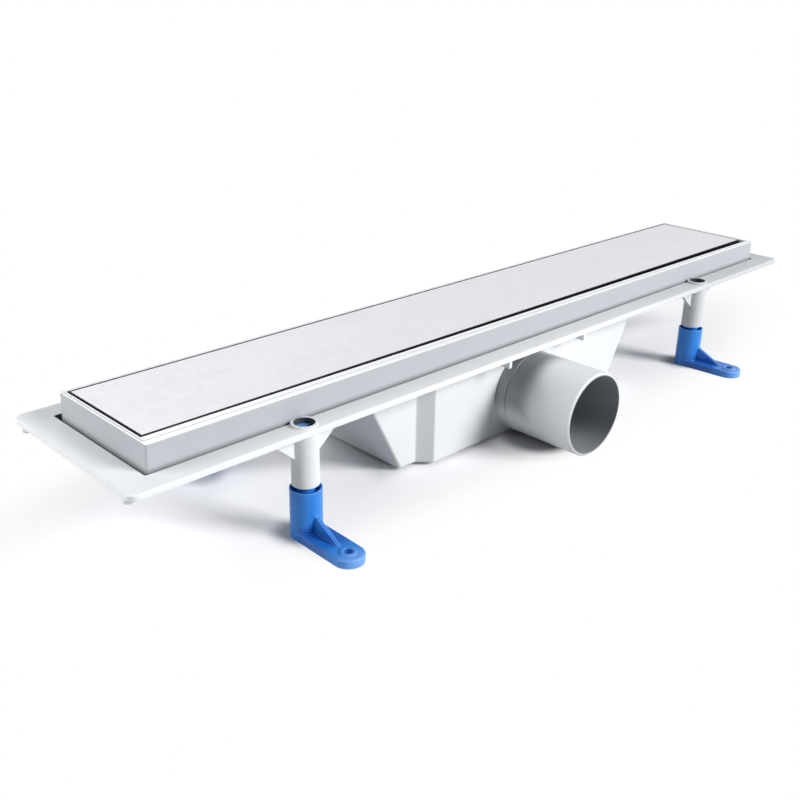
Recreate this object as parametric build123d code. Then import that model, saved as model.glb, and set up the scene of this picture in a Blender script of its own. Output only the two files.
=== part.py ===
from build123d import *
import os
from math import cos, hypot, pi, radians, sin

# Linear shower drain with a rectangular cover, a low trap with a side outlet, and four screw legs.
# Millimetres. X runs along the drain, -Y is the outlet side, Z is up.
# The origin is under the middle of the top frame, on the floor that the feet stand on.

# The outlet and the four legs sit off the frame's middle by the same amount
OFF_MIDDLE_X = -1.8

# Channel pan: the flange, with a stepped pocket for the frame and a shallow trough below it
FLANGE_END_MARGIN = 14.5
FLANGE_SIDE_MARGIN = 12.5
FLANGE_THICK = 3.0
FLANGE_CORNER_R = 4.5
FLANGE_EDGE_CHAMFER = 0.7
FLANGE_TOP_Z = 60.0
PAN_WALL = 2.2
SHELF_THICK = 1.5
POCKET_DEPTH = 6.5
POCKET_CORNER_R = 1.2
SHELF_END_REACH = 10.0
SHELF_SIDE_REACH = 8.7
TROUGH_CORNER_R = 6.0
TROUGH_DEPTH = 5.7
TROUGH_FALL = 1.5
TROUGH_FLOOR_THICK = 2.5
EDGE_RIB_X = 34.5
EDGE_RIB_THICK = 2.2
EDGE_RIB_DEPTH = 4.4
EDGE_RIB_SETBACK = 0.6
STUD_DIAMETER = 5.0
STUD_LENGTH = 3.2
STUD_INSET = 3.2

# Frame: a deep ring that stands in the pocket, with a front rim that narrows to the right
FRAME_LENGTH = 517.6
FRAME_WIDTH = 76.4
FRAME_RISE = 13.4
FRAME_END_DRAFT = 1.0
FRAME_CORNER_R = 1.0
FRAME_EDGE_R = 0.5
FRAME_WALL = 1.7
FRAME_END_RIM = 2.4
FRONT_RIM_LEFT = 7.9
FRONT_RIM_RIGHT = 4.1
FRAME_RIM_THICK = 2.2
FRAME_LIP_DEPTH = 7.4
FRAME_LIP_THICK = 1.4
FRAME_LEDGE_THICK = 2.0
FRAME_END_LEDGE = 9.5
RIM_GROOVE_WIDTH = 0.5
RIM_GROOVE_DEPTH = 0.4
FRAME_TO_BOSS_GAP = 0.4
FRAME_OPENING_END_GAP = 1.2
FRAME_OPENING_FRONT_GAP = 1.3
FRAME_OPENING_BACK_GAP = 5.3

# Cover: a panel bonded on a folded tray that stands on clip pads
COVER_SIDE_GAP = 1.3
COVER_FRONT_GAP = 1.4
PANEL_THICK = 4.0
PANEL_CORNER_R = 0.8
PANEL_EDGE_CHAMFER = 0.4
TRAY_SHEET = 1.2
TRAY_SETBACK = 1.0
TRAY_DEPTH = 9.2
PAD_LENGTH = 14.0
PAD_CHEEK = 1.5
PAD_GRIP = 4.0
PAD_SLOT_GAP = 0.1
PAD_END_INSET = 38.8
PAD_TO_LEDGE_EDGE = 0.4

# Legs: moulded tubes under the flange, with gussets and a raised ring round each screw
LEG_END_INSET = 99.1
LEG_SIDE_INSET = 7.8
LEG_OD = 14.0
LEG_ID = 10.0
LEG_LENGTH = 28.3
LEG_RING_OD = 13.6
LEG_RING_HEIGHT = 1.2
SCREW_POCKET_OD = 10.2
SCREW_POCKET_DEPTH = 4.5
LEG_WEB_THICK = 3.0
GUSSET_THICK = 2.4
GUSSET_REACH = 22.0
GUSSET_DEPTH = 13.2

# Levelling screws: slotted head above the web, snap collar below it
SCREW_OD = 5.8
SCREW_RUNNING_GAP = 0.075
SCREW_HEAD_OD = 9.5
SCREW_HEAD_HEIGHT = 2.9
SCREW_AXIAL_PLAY = 0.1
SCREW_COLLAR_OD = 8.4
SCREW_COLLAR_HEIGHT = 1.5
SCREW_SLOT_WIDTH = 1.6
SCREW_SLOT_DEPTH = 1.6
SCREW_TIP_Z = 6.2

# Feet: a sole with a lug and a rib, an outer socket, and an inner column that takes the screw
FOOT_SOLE_THICK = 4.5
SOCKET_WALL = 0.9
SOCKET_GAP = 0.3
SOCKET_TOP_Z = 26.6
COLUMN_GAP = 0.4
COLUMN_TOP_Z = 49.0
COLUMN_BORE_FLOOR_Z = 4.2
LUG_REACH = 32.0
LUG_HOLE_D = 5.2
LUG_RING_OD = 8.4
LUG_RING_HEIGHT = 0.5
FOOT_RIB_THICK = 2.0
FOOT_RIB_REACH = 25.5
FOOT_RIB_RISE = 9.0
SOLE_EDGE_CHAMFER = 0.6
FOOT_TURN = {"front_left": -1.1, "front_right": 3.5}

# Trap chamber: ramped ends, a stepped front and the outlet spigot
CHAMBER_WALL = 2.5
CHAMBER_HALF_LENGTH = 97.0
CHAMBER_RAMP = 0.527
CHAMBER_STEP_DEPTH = 7.5
CHAMBER_STEP_X = 78.0
CHAMBER_EDGE_R = 1.8
OUTLET_OD = 50.0
OUTLET_TO_SHELF_GAP = 0.5
OUTLET_WALL = 1.8
OUTLET_SHOULDER = 0.4
OUTLET_SEAT_GAP = 0.8
OUTLET_REACH = 36.4
OUTLET_CHAMFER = 0.9

# Trap insert: a flanged funnel in the trough's hole, its ring seal, a push-on cup and a strainer
INSERT_HOLE_D = 54.0
INSERT_COLLAR_WALL = 2.5
INSERT_COLLAR_DEPTH = 7.3
INSERT_FLANGE_OD = 62.0
INSERT_FLANGE_THICK = 2.2
INSERT_FLANGE_GAP = 0.3
INSERT_SKIRT_GAP = 0.4
INSERT_SKIRT_WALL = 3.2
INSERT_SKIRT_DEPTH = 7.8
INSERT_FLOOR_THICK = 2.0
DIP_TUBE_OD = 38.0
DIP_TUBE_WALL = 1.6
DIP_TUBE_END_Z = 15.0
SEAL_HEIGHT = 2.4
SEAL_DEPTH = 2.1
SEAL_GAP = 0.05
CUP_OD = 52.0
CUP_WALL = 1.5
CUP_FLOOR_THICK = 2.0
CUP_FLOOR_Z = 6.5
CUP_RIM_Z = 34.0
CUP_HUB_GAP = 0.05
CUP_HUB_WALL = 1.5
CUP_HUB_HEIGHT = 9.0
CUP_VANES = 3
CUP_VANE_THICK = 1.5
STRAINER_RIM_OD = 50.4
STRAINER_RIM_THICK = 1.2
STRAINER_SEAT_GAP = 0.3
STRAINER_BASKET_OD = 44.8
STRAINER_BASKET_DEPTH = 7.0
STRAINER_WALL = 1.0
STRAINER_SLOT_WIDTH = 2.0
STRAINER_SLOT_PITCH = 4.0
STRAINER_BAR_WIDTH = 3.0
STRAINER_BAR_HEIGHT = 2.0

# Worked out levels
FLANGE_UNDER_Z = FLANGE_TOP_Z - FLANGE_THICK
SHELF_Z = FLANGE_TOP_Z - POCKET_DEPTH
SHELF_UNDER_Z = SHELF_Z - SHELF_THICK
OUTLET_AXIS_Z = SHELF_UNDER_Z - OUTLET_TO_SHELF_GAP - OUTLET_OD / 2
CHAMBER_BOTTOM_Z = OUTLET_AXIS_Z - OUTLET_OD / 2
TROUGH_FLOOR_Z = SHELF_Z - TROUGH_DEPTH
TROUGH_UNDER_Z = TROUGH_FLOOR_Z - TROUGH_FLOOR_THICK
FRAME_TOP_Z = FLANGE_TOP_Z + FRAME_RISE
PANEL_UNDER_Z = FRAME_TOP_Z - PANEL_THICK
TRAY_UNDER_Z = PANEL_UNDER_Z - TRAY_SHEET
TRAY_FOLD_Z = TRAY_UNDER_Z - TRAY_DEPTH
LEDGE_Z = SHELF_Z + FRAME_LEDGE_THICK
WEB_TOP_Z = FLANGE_TOP_Z - SCREW_POCKET_DEPTH
WEB_UNDER_Z = WEB_TOP_Z - LEG_WEB_THICK
LEG_END_Z = FLANGE_UNDER_Z - LEG_LENGTH
INSERT_TOP_Z = TROUGH_FLOOR_Z + INSERT_FLANGE_THICK
INSERT_SKIRT_END_Z = TROUGH_FLOOR_Z - INSERT_SKIRT_DEPTH

# Worked out plan sizes
POCKET_LENGTH = FRAME_LENGTH + 2 * FRAME_OPENING_END_GAP
POCKET_FRONT_Y = -FRAME_WIDTH / 2 - FRAME_OPENING_FRONT_GAP
POCKET_BACK_Y = FRAME_WIDTH / 2 + FRAME_OPENING_BACK_GAP
POCKET_WIDTH = POCKET_BACK_Y - POCKET_FRONT_Y
PAN_Y = (POCKET_BACK_Y + POCKET_FRONT_Y) / 2
FLANGE_LENGTH = POCKET_LENGTH + 2 * FLANGE_END_MARGIN
FLANGE_WIDTH = POCKET_WIDTH + 2 * FLANGE_SIDE_MARGIN
FLANGE_FRONT_Y = PAN_Y - FLANGE_WIDTH / 2
FLANGE_BACK_Y = PAN_Y + FLANGE_WIDTH / 2
TROUGH_LENGTH = POCKET_LENGTH - 2 * SHELF_END_REACH
TROUGH_WIDTH = POCKET_WIDTH - 2 * SHELF_SIDE_REACH
TROUGH_OUTER_FRONT_Y = PAN_Y - TROUGH_WIDTH / 2 - PAN_WALL
TROUGH_OUTER_BACK_Y = PAN_Y + TROUGH_WIDTH / 2 + PAN_WALL
CHAMBER_STEP_FRONT_Y = TROUGH_OUTER_FRONT_Y - CHAMBER_WALL
CHAMBER_FRONT_Y = CHAMBER_STEP_FRONT_Y + CHAMBER_STEP_DEPTH
LEG_HALF_SPACING = FLANGE_LENGTH / 2 - LEG_END_INSET
FRONT_LEG_Y = FLANGE_FRONT_Y + LEG_SIDE_INSET
BACK_LEG_Y = FLANGE_BACK_Y - LEG_SIDE_INSET
RIM_END_X = FRAME_LENGTH / 2 - FRAME_END_DRAFT - FRAME_END_RIM
RIM_LEFT_Y = -FRAME_WIDTH / 2 + FRONT_RIM_LEFT
RIM_RIGHT_Y = -FRAME_WIDTH / 2 + FRONT_RIM_RIGHT
RIM_BACK_Y = FRAME_WIDTH / 2 - FRAME_WALL
PANEL_HALF_LENGTH = RIM_END_X - COVER_SIDE_GAP
PANEL_FRONT_Y = RIM_LEFT_Y + COVER_FRONT_GAP
PANEL_BACK_Y = RIM_BACK_Y - COVER_SIDE_GAP
TRAY_HALF_LENGTH = PANEL_HALF_LENGTH - TRAY_SETBACK
TRAY_FRONT_Y = PANEL_FRONT_Y + TRAY_SETBACK
TRAY_BACK_Y = PANEL_BACK_Y - TRAY_SETBACK
PAD_SLOT = TRAY_SHEET + 2 * PAD_SLOT_GAP
PAD_INNER_REACH = TRAY_SHEET + PAD_SLOT_GAP + PAD_CHEEK
PAD_END_X = TRAY_HALF_LENGTH - PAD_END_INSET
FRONT_LEDGE_Y = TRAY_FRONT_Y + PAD_INNER_REACH + PAD_TO_LEDGE_EDGE
BACK_LEDGE_Y = TRAY_BACK_Y - PAD_INNER_REACH - PAD_TO_LEDGE_EDGE
SOCKET_ID = LEG_OD + 2 * SOCKET_GAP
SOCKET_OD = SOCKET_ID + 2 * SOCKET_WALL
COLUMN_OD = LEG_ID - 2 * COLUMN_GAP
SCREW_BORE_D = SCREW_OD + 2 * SCREW_RUNNING_GAP
OUTLET_END_Y = FLANGE_FRONT_Y - OUTLET_REACH
OUTLET_SEAT_Y = POCKET_FRONT_Y - PAN_WALL - OUTLET_SEAT_GAP
SKIRT_OD = INSERT_HOLE_D - 2 * INSERT_SKIRT_GAP
SKIRT_ID = SKIRT_OD - 2 * INSERT_SKIRT_WALL
CUT = 1.0


def block(x0, x1, y0, y1, z0, z1):
    """A box between two corners."""
    middle = Pos((x0 + x1) / 2, (y0 + y1) / 2, (z0 + z1) / 2)
    return middle * Box(x1 - x0, y1 - y0, z1 - z0)


def drum(diameter, z0, z1, x=0.0, y=0.0):
    """An upright cylinder."""
    return Pos(x, y, (z0 + z1) / 2) * Cylinder(diameter / 2, z1 - z0)


def pipe(outer, inner, z0, z1, x=0.0, y=0.0):
    """An upright tube."""
    return drum(outer, z0, z1, x, y) - drum(inner, z0 - CUT, z1 + CUT, x, y)


def rounded_plate(length, width, corner, z0, z1, y=0.0):
    """A flat plate with rounded upright corners."""
    return Pos(0, y, z0) * extrude(RectangleRounded(length, width, corner), z1 - z0)


def profile_along_y(points, y0, y1):
    """A closed outline in X and Z, drawn out from y0 to y1."""
    face = make_face(Polyline(*[(x, 0, z) for x, z in points], close=True))
    return Pos(0, y0, 0) * extrude(face, amount=y1 - y0, dir=(0, 1, 0))


def profile_along_x(points, x0, x1):
    """A closed outline in Y and Z, drawn out from x0 to x1."""
    face = make_face(Polyline(*[(0, y, z) for y, z in points], close=True))
    return Pos(x0, 0, 0) * extrude(face, amount=x1 - x0, dir=(1, 0, 0))


def upright(points, z0, z1):
    """A closed outline in X and Y, drawn up from z0 to z1."""
    face = make_face(Polyline(*[(x, y, 0) for x, y in points], close=True))
    return Pos(0, 0, z0) * extrude(face, amount=z1 - z0, dir=(0, 0, 1))


def leg_places():
    """Name, X, Y and outward direction of each leg."""
    places = []
    for side, x in (("left", OFF_MIDDLE_X - LEG_HALF_SPACING), ("right", OFF_MIDDLE_X + LEG_HALF_SPACING)):
        places.append((f"front_{side}", x, FRONT_LEG_Y, -1))
        places.append((f"back_{side}", x, BACK_LEG_Y, 1))
    return places


def trough_hollow():
    """The water space of the trough: its floor falls from both ends to the middle."""
    half = TROUGH_LENGTH / 2 + CUT
    end_z = TROUGH_FLOOR_Z + TROUGH_FALL
    top_z = SHELF_Z + CUT
    wedge = profile_along_y(
        [(-half, end_z), (0, TROUGH_FLOOR_Z), (half, end_z), (half, top_z), (-half, top_z)],
        PAN_Y - TROUGH_WIDTH / 2 - CUT,
        PAN_Y + TROUGH_WIDTH / 2 + CUT,
    )
    walls = rounded_plate(TROUGH_LENGTH, TROUGH_WIDTH, TROUGH_CORNER_R, TROUGH_UNDER_Z, top_z, PAN_Y)
    return wedge & walls


def flange_plate():
    """The flange with its softened top edge."""
    plate = rounded_plate(
        FLANGE_LENGTH, FLANGE_WIDTH, FLANGE_CORNER_R, FLANGE_UNDER_Z, FLANGE_TOP_Z, PAN_Y
    )
    return chamfer(plate.faces().sort_by(Axis.Z)[-1].edges(), FLANGE_EDGE_CHAMFER)


def leg_gusset(x, y):
    """A pair of webs that brace a leg against the flange."""
    core = LEG_ID / 2 + PAN_WALL / 2
    low_z = FLANGE_UNDER_Z - GUSSET_DEPTH
    top_z = FLANGE_UNDER_Z + FLANGE_THICK / 2
    outline = [
        (x - core, low_z), (x - LEG_OD / 2, low_z), (x - GUSSET_REACH, FLANGE_UNDER_Z),
        (x - GUSSET_REACH, top_z), (x + GUSSET_REACH, top_z), (x + GUSSET_REACH, FLANGE_UNDER_Z),
        (x + LEG_OD / 2, low_z), (x + core, low_z),
    ]
    return profile_along_y(outline, y - GUSSET_THICK / 2, y + GUSSET_THICK / 2)


def edge_rib(x, y0, y1):
    """A short stiffener between the flange's edge and the pocket wall."""
    half = EDGE_RIB_THICK / 2
    return block(x - half, x + half, y0, y1, FLANGE_UNDER_Z - EDGE_RIB_DEPTH, FLANGE_UNDER_Z)


def channel_pan():
    """The flange, pocket, trough, leg tubes and stiffeners, moulded as one piece."""
    pocket_outer_length = POCKET_LENGTH + 2 * PAN_WALL
    pocket_outer_width = POCKET_WIDTH + 2 * PAN_WALL
    pan = flange_plate()
    pan += rounded_plate(
        pocket_outer_length, pocket_outer_width, POCKET_CORNER_R + PAN_WALL,
        SHELF_UNDER_Z, FLANGE_UNDER_Z, PAN_Y,
    )
    pan += rounded_plate(
        TROUGH_LENGTH + 2 * PAN_WALL, TROUGH_WIDTH + 2 * PAN_WALL, TROUGH_CORNER_R + PAN_WALL,
        TROUGH_UNDER_Z, SHELF_UNDER_Z, PAN_Y,
    )
    for x in (-EDGE_RIB_X, EDGE_RIB_X):
        pan += edge_rib(x, FLANGE_FRONT_Y + EDGE_RIB_SETBACK, POCKET_FRONT_Y)
        pan += edge_rib(x, POCKET_BACK_Y, FLANGE_BACK_Y - EDGE_RIB_SETBACK)
    pan -= rounded_plate(
        POCKET_LENGTH, POCKET_WIDTH, POCKET_CORNER_R, SHELF_Z, FLANGE_TOP_Z + CUT, PAN_Y
    )
    for _, x, y, _ in leg_places():
        pan += drum(LEG_OD, LEG_END_Z, FLANGE_UNDER_Z, x, y)
        pan += drum(LEG_RING_OD, FLANGE_UNDER_Z, FLANGE_TOP_Z + LEG_RING_HEIGHT, x, y)
        pan += leg_gusset(x, y)
        stud_x = (FLANGE_LENGTH / 2 - STUD_INSET) * (1 if x > 0 else -1)
        pan += drum(STUD_DIAMETER, FLANGE_UNDER_Z - STUD_LENGTH, FLANGE_UNDER_Z, stud_x, y)
    pan += drum(
        INSERT_HOLE_D + 2 * INSERT_COLLAR_WALL,
        TROUGH_UNDER_Z - INSERT_COLLAR_DEPTH, TROUGH_UNDER_Z, 0, PAN_Y,
    )
    clear_y = FRAME_WIDTH / 2 + FRAME_TO_BOSS_GAP
    clear_x = FRAME_LENGTH / 2 + FRAME_TO_BOSS_GAP
    pan -= block(-clear_x, clear_x, -clear_y, clear_y, SHELF_Z, FRAME_TOP_Z)
    pan -= trough_hollow()
    pan -= drum(
        INSERT_FLANGE_OD + 2 * INSERT_FLANGE_GAP, TROUGH_FLOOR_Z, SHELF_Z, 0, PAN_Y
    )
    pan -= drum(
        INSERT_HOLE_D, TROUGH_UNDER_Z - INSERT_COLLAR_DEPTH - CUT, TROUGH_FLOOR_Z + CUT, 0, PAN_Y
    )
    for _, x, y, _ in leg_places():
        pan -= drum(LEG_ID, LEG_END_Z - CUT, WEB_UNDER_Z, x, y)
        pan -= drum(SCREW_BORE_D, WEB_UNDER_Z - CUT, WEB_TOP_Z + CUT, x, y)
        pan -= drum(SCREW_POCKET_OD, WEB_TOP_Z, FRAME_TOP_Z, x, y)
    return pan


def chamber_form(inset, top_z, mouth=0.0):
    """The trap chamber's outer form, or its hollow when inset by the wall."""
    low_z = CHAMBER_BOTTOM_Z + inset
    tilt = hypot(1.0, CHAMBER_RAMP)
    low_x = CHAMBER_HALF_LENGTH + CHAMBER_RAMP * inset - inset * tilt
    top_x = low_x + CHAMBER_RAMP * (top_z + mouth - low_z)
    front = CHAMBER_FRONT_Y + inset
    back = TROUGH_OUTER_BACK_Y - inset
    ramps = profile_along_y(
        [(-low_x, low_z), (low_x, low_z), (top_x, top_z + mouth), (-top_x, top_z + mouth)],
        front, back,
    )
    step_front = CHAMBER_STEP_FRONT_Y + inset
    shift = inset * (hypot(1.0, 1.0) - 1.0)
    step_x = CHAMBER_STEP_X - shift
    shoulder_x = step_x + CHAMBER_STEP_DEPTH
    lap = front + CHAMBER_WALL
    outline = [
        (-shoulder_x, front), (-step_x, step_front), (step_x, step_front),
        (shoulder_x, front), (shoulder_x, lap), (-shoulder_x, lap),
    ]
    return ramps + upright(outline, low_z, top_z + mouth)


def chamber_tongue():
    """The part of the front wall that laps the outside of the trough up to the shelf."""
    reach = TROUGH_OUTER_FRONT_Y - CHAMBER_STEP_FRONT_Y
    outline = [
        (-CHAMBER_STEP_X, CHAMBER_STEP_FRONT_Y), (CHAMBER_STEP_X, CHAMBER_STEP_FRONT_Y),
        (CHAMBER_STEP_X + reach, TROUGH_OUTER_FRONT_Y), (-CHAMBER_STEP_X - reach, TROUGH_OUTER_FRONT_Y),
    ]
    return upright(outline, TROUGH_UNDER_Z, SHELF_UNDER_Z)


def along_outlet(diameter, y0, y1):
    """A cylinder on the outlet's axis."""
    turn = Pos(OFF_MIDDLE_X, (y0 + y1) / 2, OUTLET_AXIS_Z) * Rot(90, 0, 0)
    return turn * Cylinder(diameter / 2, y1 - y0)


def trap_chamber():
    """The lower moulding: a ramped box, open at the top, with the outlet spigot."""
    outer = chamber_form(0.0, TROUGH_UNDER_Z)
    soft = [e for e in outer.edges() if e.center().Z < TROUGH_UNDER_Z - CUT]
    outer = fillet(soft, CHAMBER_EDGE_R)
    outer += chamber_tongue()
    root_y = CHAMBER_STEP_FRONT_Y + CHAMBER_WALL / 2
    spigot = along_outlet(OUTLET_OD, OUTLET_END_Y, root_y)
    rim = spigot.faces().sort_by(Axis.Y)[0].edges()
    outer += chamfer(rim, OUTLET_CHAMFER)
    outer += along_outlet(OUTLET_OD + 2 * OUTLET_SHOULDER, OUTLET_SEAT_Y, root_y)
    outer -= chamber_form(CHAMBER_WALL, TROUGH_UNDER_Z, CUT)
    bore = OUTLET_OD - 2 * OUTLET_WALL
    return outer - along_outlet(bore, OUTLET_END_Y - CUT, CHAMBER_STEP_FRONT_Y + CHAMBER_WALL)


def frame_shell():
    """The frame's outer form: drafted ends and softened top edges."""
    foot = Pos(0, 0, SHELF_Z) * RectangleRounded(FRAME_LENGTH, FRAME_WIDTH, FRAME_CORNER_R)
    top_length = FRAME_LENGTH - 2 * FRAME_END_DRAFT
    head = Pos(0, 0, FRAME_TOP_Z) * RectangleRounded(top_length, FRAME_WIDTH, FRAME_CORNER_R)
    shell = loft(Sketch() + [foot, head])
    return fillet(shell.faces().sort_by(Axis.Z)[-1].edges(), FRAME_EDGE_R)


def groove_outline(grow):
    """The groove's plan outline, moved outwards by a given amount."""
    front = -FRAME_WIDTH / 2 - grow
    x = RIM_END_X + FRAME_END_RIM / 2 + grow
    back = FRAME_WIDTH / 2 - FRAME_WALL / 2 + grow
    return [(-x, front + FRONT_RIM_LEFT / 2), (x, front + FRONT_RIM_RIGHT / 2), (x, back), (-x, back)]


def rim_groove():
    """The fine line that runs round the middle of the rim."""
    half = RIM_GROOVE_WIDTH / 2
    low_z = FRAME_TOP_Z - RIM_GROOVE_DEPTH
    ring = upright(groove_outline(half), low_z, FRAME_TOP_Z + CUT)
    return ring - upright(groove_outline(-half), low_z - CUT, FRAME_TOP_Z + 2 * CUT)


def frame_hollow(front_left, front_right, back, z0, z1):
    """A space inside the frame whose front edge may run at a slant."""
    x = RIM_END_X
    return upright([(-x, front_left), (x, front_right), (x, back), (-x, back)], z0, z1)


def top_frame():
    """The deep frame: outer wall, rims, front lip and the ledge that carries the cover."""
    frame = frame_shell()
    rim_under_z = FRAME_TOP_Z - FRAME_RIM_THICK
    lip_end_z = FRAME_TOP_Z - FRAME_LIP_DEPTH
    wall_front_y = -FRAME_WIDTH / 2 + FRAME_WALL
    lip_left_y = RIM_LEFT_Y - FRAME_LIP_THICK
    lip_right_y = RIM_RIGHT_Y - FRAME_LIP_THICK
    frame -= frame_hollow(RIM_LEFT_Y, RIM_RIGHT_Y, RIM_BACK_Y, LEDGE_Z, FRAME_TOP_Z + CUT)
    behind_lip = frame_hollow(wall_front_y, wall_front_y, RIM_BACK_Y, LEDGE_Z, rim_under_z)
    frame -= behind_lip - frame_hollow(lip_left_y, lip_right_y, RIM_BACK_Y, lip_end_z, FRAME_TOP_Z)
    window_x = RIM_END_X - FRAME_END_LEDGE
    frame -= block(-window_x, window_x, FRONT_LEDGE_Y, BACK_LEDGE_Y, SHELF_Z - CUT, LEDGE_Z + CUT)
    return frame - rim_groove()


def cover_panel():
    """The flat panel that lies flush with the frame."""
    width = PANEL_BACK_Y - PANEL_FRONT_Y
    middle = (PANEL_BACK_Y + PANEL_FRONT_Y) / 2
    panel = rounded_plate(
        2 * PANEL_HALF_LENGTH, width, PANEL_CORNER_R, PANEL_UNDER_Z, FRAME_TOP_Z, middle
    )
    return chamfer(panel.faces().sort_by(Axis.Z)[-1].edges(), PANEL_EDGE_CHAMFER)


def cover_tray():
    """The folded tray under the panel, with its four edges turned down."""
    tray = block(
        -TRAY_HALF_LENGTH, TRAY_HALF_LENGTH, TRAY_FRONT_Y, TRAY_BACK_Y, TRAY_FOLD_Z, PANEL_UNDER_Z
    )
    return tray - block(
        -TRAY_HALF_LENGTH + TRAY_SHEET, TRAY_HALF_LENGTH - TRAY_SHEET,
        TRAY_FRONT_Y + TRAY_SHEET, TRAY_BACK_Y - TRAY_SHEET, TRAY_FOLD_Z - CUT, TRAY_UNDER_Z,
    )


def cover_pad(x, fold_y, inward):
    """A clip pad: it grips the tray's turned edge and stands on the frame's ledge."""
    sheet_y = fold_y + inward * TRAY_SHEET / 2
    half = PAD_SLOT / 2 + PAD_CHEEK
    top_z = TRAY_FOLD_Z + PAD_GRIP
    pad = block(x - PAD_LENGTH / 2, x + PAD_LENGTH / 2, sheet_y - half, sheet_y + half, LEDGE_Z, top_z)
    slot = block(
        x - PAD_LENGTH, x + PAD_LENGTH, sheet_y - PAD_SLOT / 2, sheet_y + PAD_SLOT / 2,
        TRAY_FOLD_Z, top_z + CUT,
    )
    return pad - slot


def levelling_screw(x, y):
    """A slotted screw that turns in the leg's web and carries the foot."""
    head_z = WEB_TOP_Z + SCREW_AXIAL_PLAY
    top_z = head_z + SCREW_HEAD_HEIGHT
    collar_z = WEB_UNDER_Z - SCREW_AXIAL_PLAY
    screw = drum(SCREW_OD, SCREW_TIP_Z, head_z, x, y)
    screw += drum(SCREW_HEAD_OD, head_z, top_z, x, y)
    screw += drum(SCREW_COLLAR_OD, collar_z - SCREW_COLLAR_HEIGHT, collar_z, x, y)
    slot = block(
        -SCREW_HEAD_OD, SCREW_HEAD_OD, -SCREW_SLOT_WIDTH / 2, SCREW_SLOT_WIDTH / 2,
        top_z - SCREW_SLOT_DEPTH, top_z + CUT,
    )
    return screw - Pos(x, y, 0) * slot


def foot_sole(outward):
    """The flat sole: round under the socket and round at the lug."""
    lug_y = outward * LUG_REACH
    sole = drum(SOCKET_OD, 0, FOOT_SOLE_THICK) + drum(SOCKET_OD, 0, FOOT_SOLE_THICK, 0, lug_y)
    half = SOCKET_OD / 2
    sole += block(-half, half, min(0, lug_y), max(0, lug_y), 0, FOOT_SOLE_THICK)
    return chamfer(sole.faces().sort_by(Axis.Z)[-1].edges(), SOLE_EDGE_CHAMFER)


def foot_rib(outward):
    """The rib that braces the socket on the sole."""
    start = outward * (SOCKET_ID / 2 + SOCKET_WALL / 2)
    end = outward * FOOT_RIB_REACH
    low_z = FOOT_SOLE_THICK / 2
    outline = [
        (start, low_z), (start, FOOT_SOLE_THICK + FOOT_RIB_RISE),
        (outward * SOCKET_OD / 2, FOOT_SOLE_THICK + FOOT_RIB_RISE),
        (end, FOOT_SOLE_THICK), (end, low_z),
    ]
    return profile_along_x(outline, -FOOT_RIB_THICK / 2, FOOT_RIB_THICK / 2)


def levelling_foot(outward):
    """A foot about its leg's axis: sole, rib, outer socket and the column with the screw's bore."""
    foot = foot_sole(outward)
    foot += drum(SOCKET_OD, 0, SOCKET_TOP_Z)
    foot += foot_rib(outward)
    foot -= drum(SOCKET_ID, FOOT_SOLE_THICK, SOCKET_TOP_Z + CUT)
    foot += drum(COLUMN_OD, FOOT_SOLE_THICK / 2, COLUMN_TOP_Z)
    foot -= drum(SCREW_BORE_D, COLUMN_BORE_FLOOR_Z, COLUMN_TOP_Z + CUT)
    lug_y = outward * LUG_REACH
    foot += drum(LUG_RING_OD, FOOT_SOLE_THICK / 2, FOOT_SOLE_THICK + LUG_RING_HEIGHT, 0, lug_y)
    return foot - drum(LUG_HOLE_D, -CUT, FOOT_SOLE_THICK + 2 * CUT, 0, lug_y)


def siphon_insert():
    """The funnel that lifts out of the trough's hole: flange, skirt and dip tube."""
    insert = drum(INSERT_FLANGE_OD, TROUGH_FLOOR_Z, INSERT_TOP_Z, 0, PAN_Y)
    insert += drum(SKIRT_OD, INSERT_SKIRT_END_Z, TROUGH_FLOOR_Z, 0, PAN_Y)
    insert += drum(DIP_TUBE_OD, DIP_TUBE_END_Z, INSERT_SKIRT_END_Z, 0, PAN_Y)
    seat = STRAINER_RIM_OD + 2 * STRAINER_SEAT_GAP
    insert -= drum(seat, INSERT_TOP_Z - STRAINER_RIM_THICK, INSERT_TOP_Z + CUT, 0, PAN_Y)
    floor_z = INSERT_SKIRT_END_Z + INSERT_FLOOR_THICK
    insert -= drum(SKIRT_ID, floor_z, INSERT_TOP_Z + CUT, 0, PAN_Y)
    bore = DIP_TUBE_OD - 2 * DIP_TUBE_WALL
    insert -= drum(bore, DIP_TUBE_END_Z - CUT, INSERT_TOP_Z, 0, PAN_Y)
    groove_floor = INSERT_HOLE_D - 2 * (SEAL_DEPTH + 2 * SEAL_GAP)
    half = SEAL_HEIGHT / 2 + SEAL_GAP
    middle = seal_height()
    return insert - pipe(INSERT_HOLE_D, groove_floor, middle - half, middle + half, 0, PAN_Y)


def seal_height():
    """The height of the ring seal's middle, halfway down the skirt."""
    return TROUGH_FLOOR_Z - INSERT_SKIRT_DEPTH / 2


def siphon_seal_ring():
    """The ring seal between the insert's skirt and the collar."""
    outer = INSERT_HOLE_D - 2 * SEAL_GAP
    low_z = seal_height() - SEAL_HEIGHT / 2
    return pipe(outer, outer - 2 * SEAL_DEPTH, low_z, low_z + SEAL_HEIGHT, 0, PAN_Y)


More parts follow.
